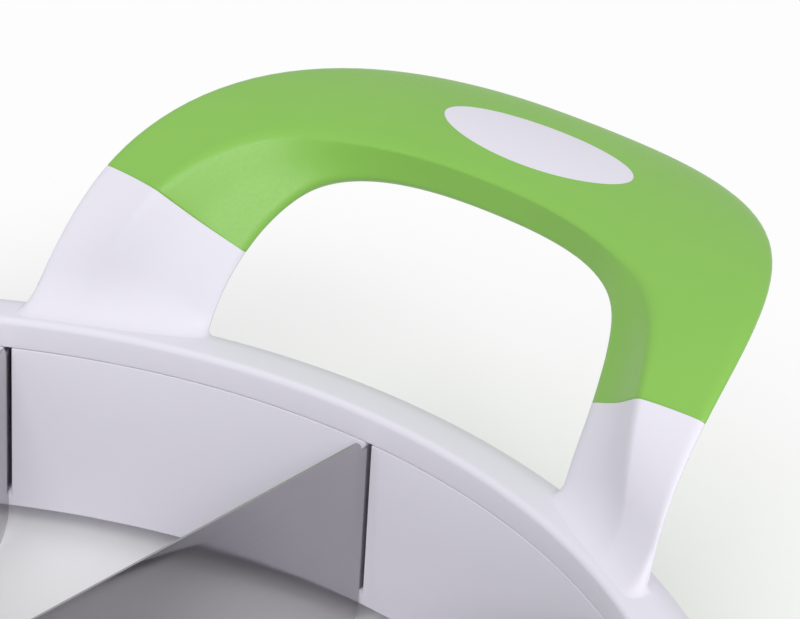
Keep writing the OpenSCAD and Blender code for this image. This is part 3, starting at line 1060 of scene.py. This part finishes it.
class SLICER_OT_core_ring(Operator):
    """Models the slotted tube that the blades lock into"""

    bl_idname = "slicer.core_ring"
    bl_label = "Core Ring"

    def execute(self, context):
        core, blades = settings().core, settings().blades
        outer_r, inner_r, edge_z = core_high.x, core_high.x - core.wall_t, core_low.z
        profile = [
            (outer_r, edge_z),
            (outer_r, core_high.z),
            (inner_r, core_high.z),
            (inner_r, edge_z + blades.bevel_h),
            (outer_r - blades.edge_t, edge_z),
        ]
        seat_z, open_z = edge_z + core.lap_h, core_high.z + OVER
        slot = [
            (inner_r - OVER, seat_z),
            (outer_r + OVER, seat_z),
            (outer_r + OVER, open_z),
            (inner_r - OVER, open_z),
        ]
        piece = lathe(profile, CORE_STEPS)
        carve_at_blades(piece, slot, blade_t + 2 * core.lap_gap, "DIFFERENCE")
        break_edges(piece, core.edge_soft)
        finish_piece(piece, "core_ring", tube_steel())
        return {"FINISHED"}


class SLICER_OT_screws(Operator):
    """Models one pan-head screw with a cross recess and copies it round the ring"""

    bl_idname = "slicer.screws"
    bl_label = "Carrier Screws"

    def execute(self, context):
        screws = settings().screws
        head, shank = screws.head_d / 2, screws.shank_d / 2
        low, seat, top = screws_low.z, screws_low.z + screws.head_h, screws_high.z
        soft = screws.head_h * HEAD_ROUND
        reach, floor, floor_z = screws.recess_l / 2, screws.recess_w * RECESS_FLOOR, low + screws.recess_d
        profile = [
            (0, low),
            *arc((head - soft, low + soft), soft, -90, 0, HEAD_STEPS),
            (head, seat),
            (shank, seat),
            (shank, top - shank),
            (shank / 2, top),
            (0, top),
        ]
        first = lathe(profile, SCREW_STEPS)
        arm = [(-reach, low - OVER), (reach, low - OVER), (floor, floor_z), (-floor, floor_z)]
        for turn in (0, pi / 2):
            cross = slab(arm, screws.recess_w)
            cross.data.transform(Matrix.Rotation(turn, 4, "Z"))
            carve(first, cross, "DIFFERENCE")
        piece = at_screws(first)
        finish_piece(piece, "carrier_screws", plated_steel())
        return {"FINISHED"}


class SLICER_OT_stage(Operator):
    """Sets the floor, the lamps and the camera"""

    bl_idname = "slicer.stage"
    bl_label = "Stage"

    def execute(self, context):
        stage = settings().stage
        deselect()
        bpy.ops.mesh.primitive_plane_add(size=FLOOR_SIZE)
        floor = context.object
        floor.name = "floor"
        floor.data.materials.append(pale_floor())
        turn = Matrix.Rotation(stage.heading - pi / 2, 4, "Z")
        for name, place, side, power in (
            ("key", stage.key_place, stage.key_size, stage.key),
            ("front", stage.front_place, stage.front_size, stage.front),
        ):
            away = place.normalized()
            across = Vector((0, -1, 0)).cross(away).normalized()
            bpy.ops.object.light_add(type="AREA")
            lamp = context.object
            lamp.name = name
            lamp.data.shape = "SQUARE"
            lamp.data.size = side
            lamp.data.energy = power
            facing = Matrix((across, away.cross(across), away)).transposed().to_4x4()
            lamp.matrix_world = turn @ Matrix.Translation(place) @ facing
        world = bpy.data.worlds.new("Even Light")
        world.use_nodes = True
        sky = {"Color": (1, 1, 1, 1), "Strength": stage.sky}
        link(world.node_tree, world.node_tree.nodes["Background"], sky)
        context.scene.world = world
        bpy.ops.object.camera_add()
        camera = context.object
        camera.data.lens = stage.lens
        tilt = Matrix.Rotation(pi / 2 - stage.elevation, 4, "X")
        view = turn @ tilt @ Matrix.Rotation(stage.roll, 4, "Z")
        place = Vector((0, 0, seam_z)) + view @ stage.offset
        camera.matrix_world = Matrix.Translation(place) @ view
        context.scene.camera = camera
        context.scene.view_settings.view_transform = "Standard"
        return {"FINISHED"}


class SLICER_PT_panel(Panel):
    """Lists the slicer's operators"""

    bl_label = "Melon Slicer"
    bl_idname = "SLICER_PT_panel"
    bl_space_type = "VIEW_3D"
    bl_region_type = "UI"
    bl_category = "Slicer"

    def draw(self, context):
        for operator in OPERATORS:
            self.layout.operator(operator.bl_idname)


GROUPS = (
    SlicerRing, SlicerCarrier, SlicerBlades, SlicerCore, SlicerHandles, SlicerGrips, SlicerScrews,
    SlicerColours, SlicerStage, SlicerSettings,
)
OPERATORS = (
    SLICER_OT_top_frame, SLICER_OT_grips, SLICER_OT_carrier, SLICER_OT_blades, SLICER_OT_core_ring,
    SLICER_OT_screws, SLICER_OT_stage,
)


def register():
    """Registers the settings, the operators and the panel."""
    for kind in (*GROUPS, *OPERATORS, SLICER_PT_panel):
        bpy.utils.register_class(kind)
    bpy.types.Scene.slicer = PointerProperty(type=SlicerSettings)


def unregister():
    """Takes them out again."""
    del bpy.types.Scene.slicer
    for kind in reversed((*GROUPS, *OPERATORS, SLICER_PT_panel)):
        bpy.utils.unregister_class(kind)


def main():
    """Models every piece and sets the stage."""
    register()
    bpy.ops.slicer.top_frame()
    bpy.ops.slicer.grips()
    bpy.ops.slicer.carrier()
    bpy.ops.slicer.blades()
    bpy.ops.slicer.core_ring()
    bpy.ops.slicer.screws()
    bpy.ops.slicer.stage()


if __name__ == "__main__":
    main()
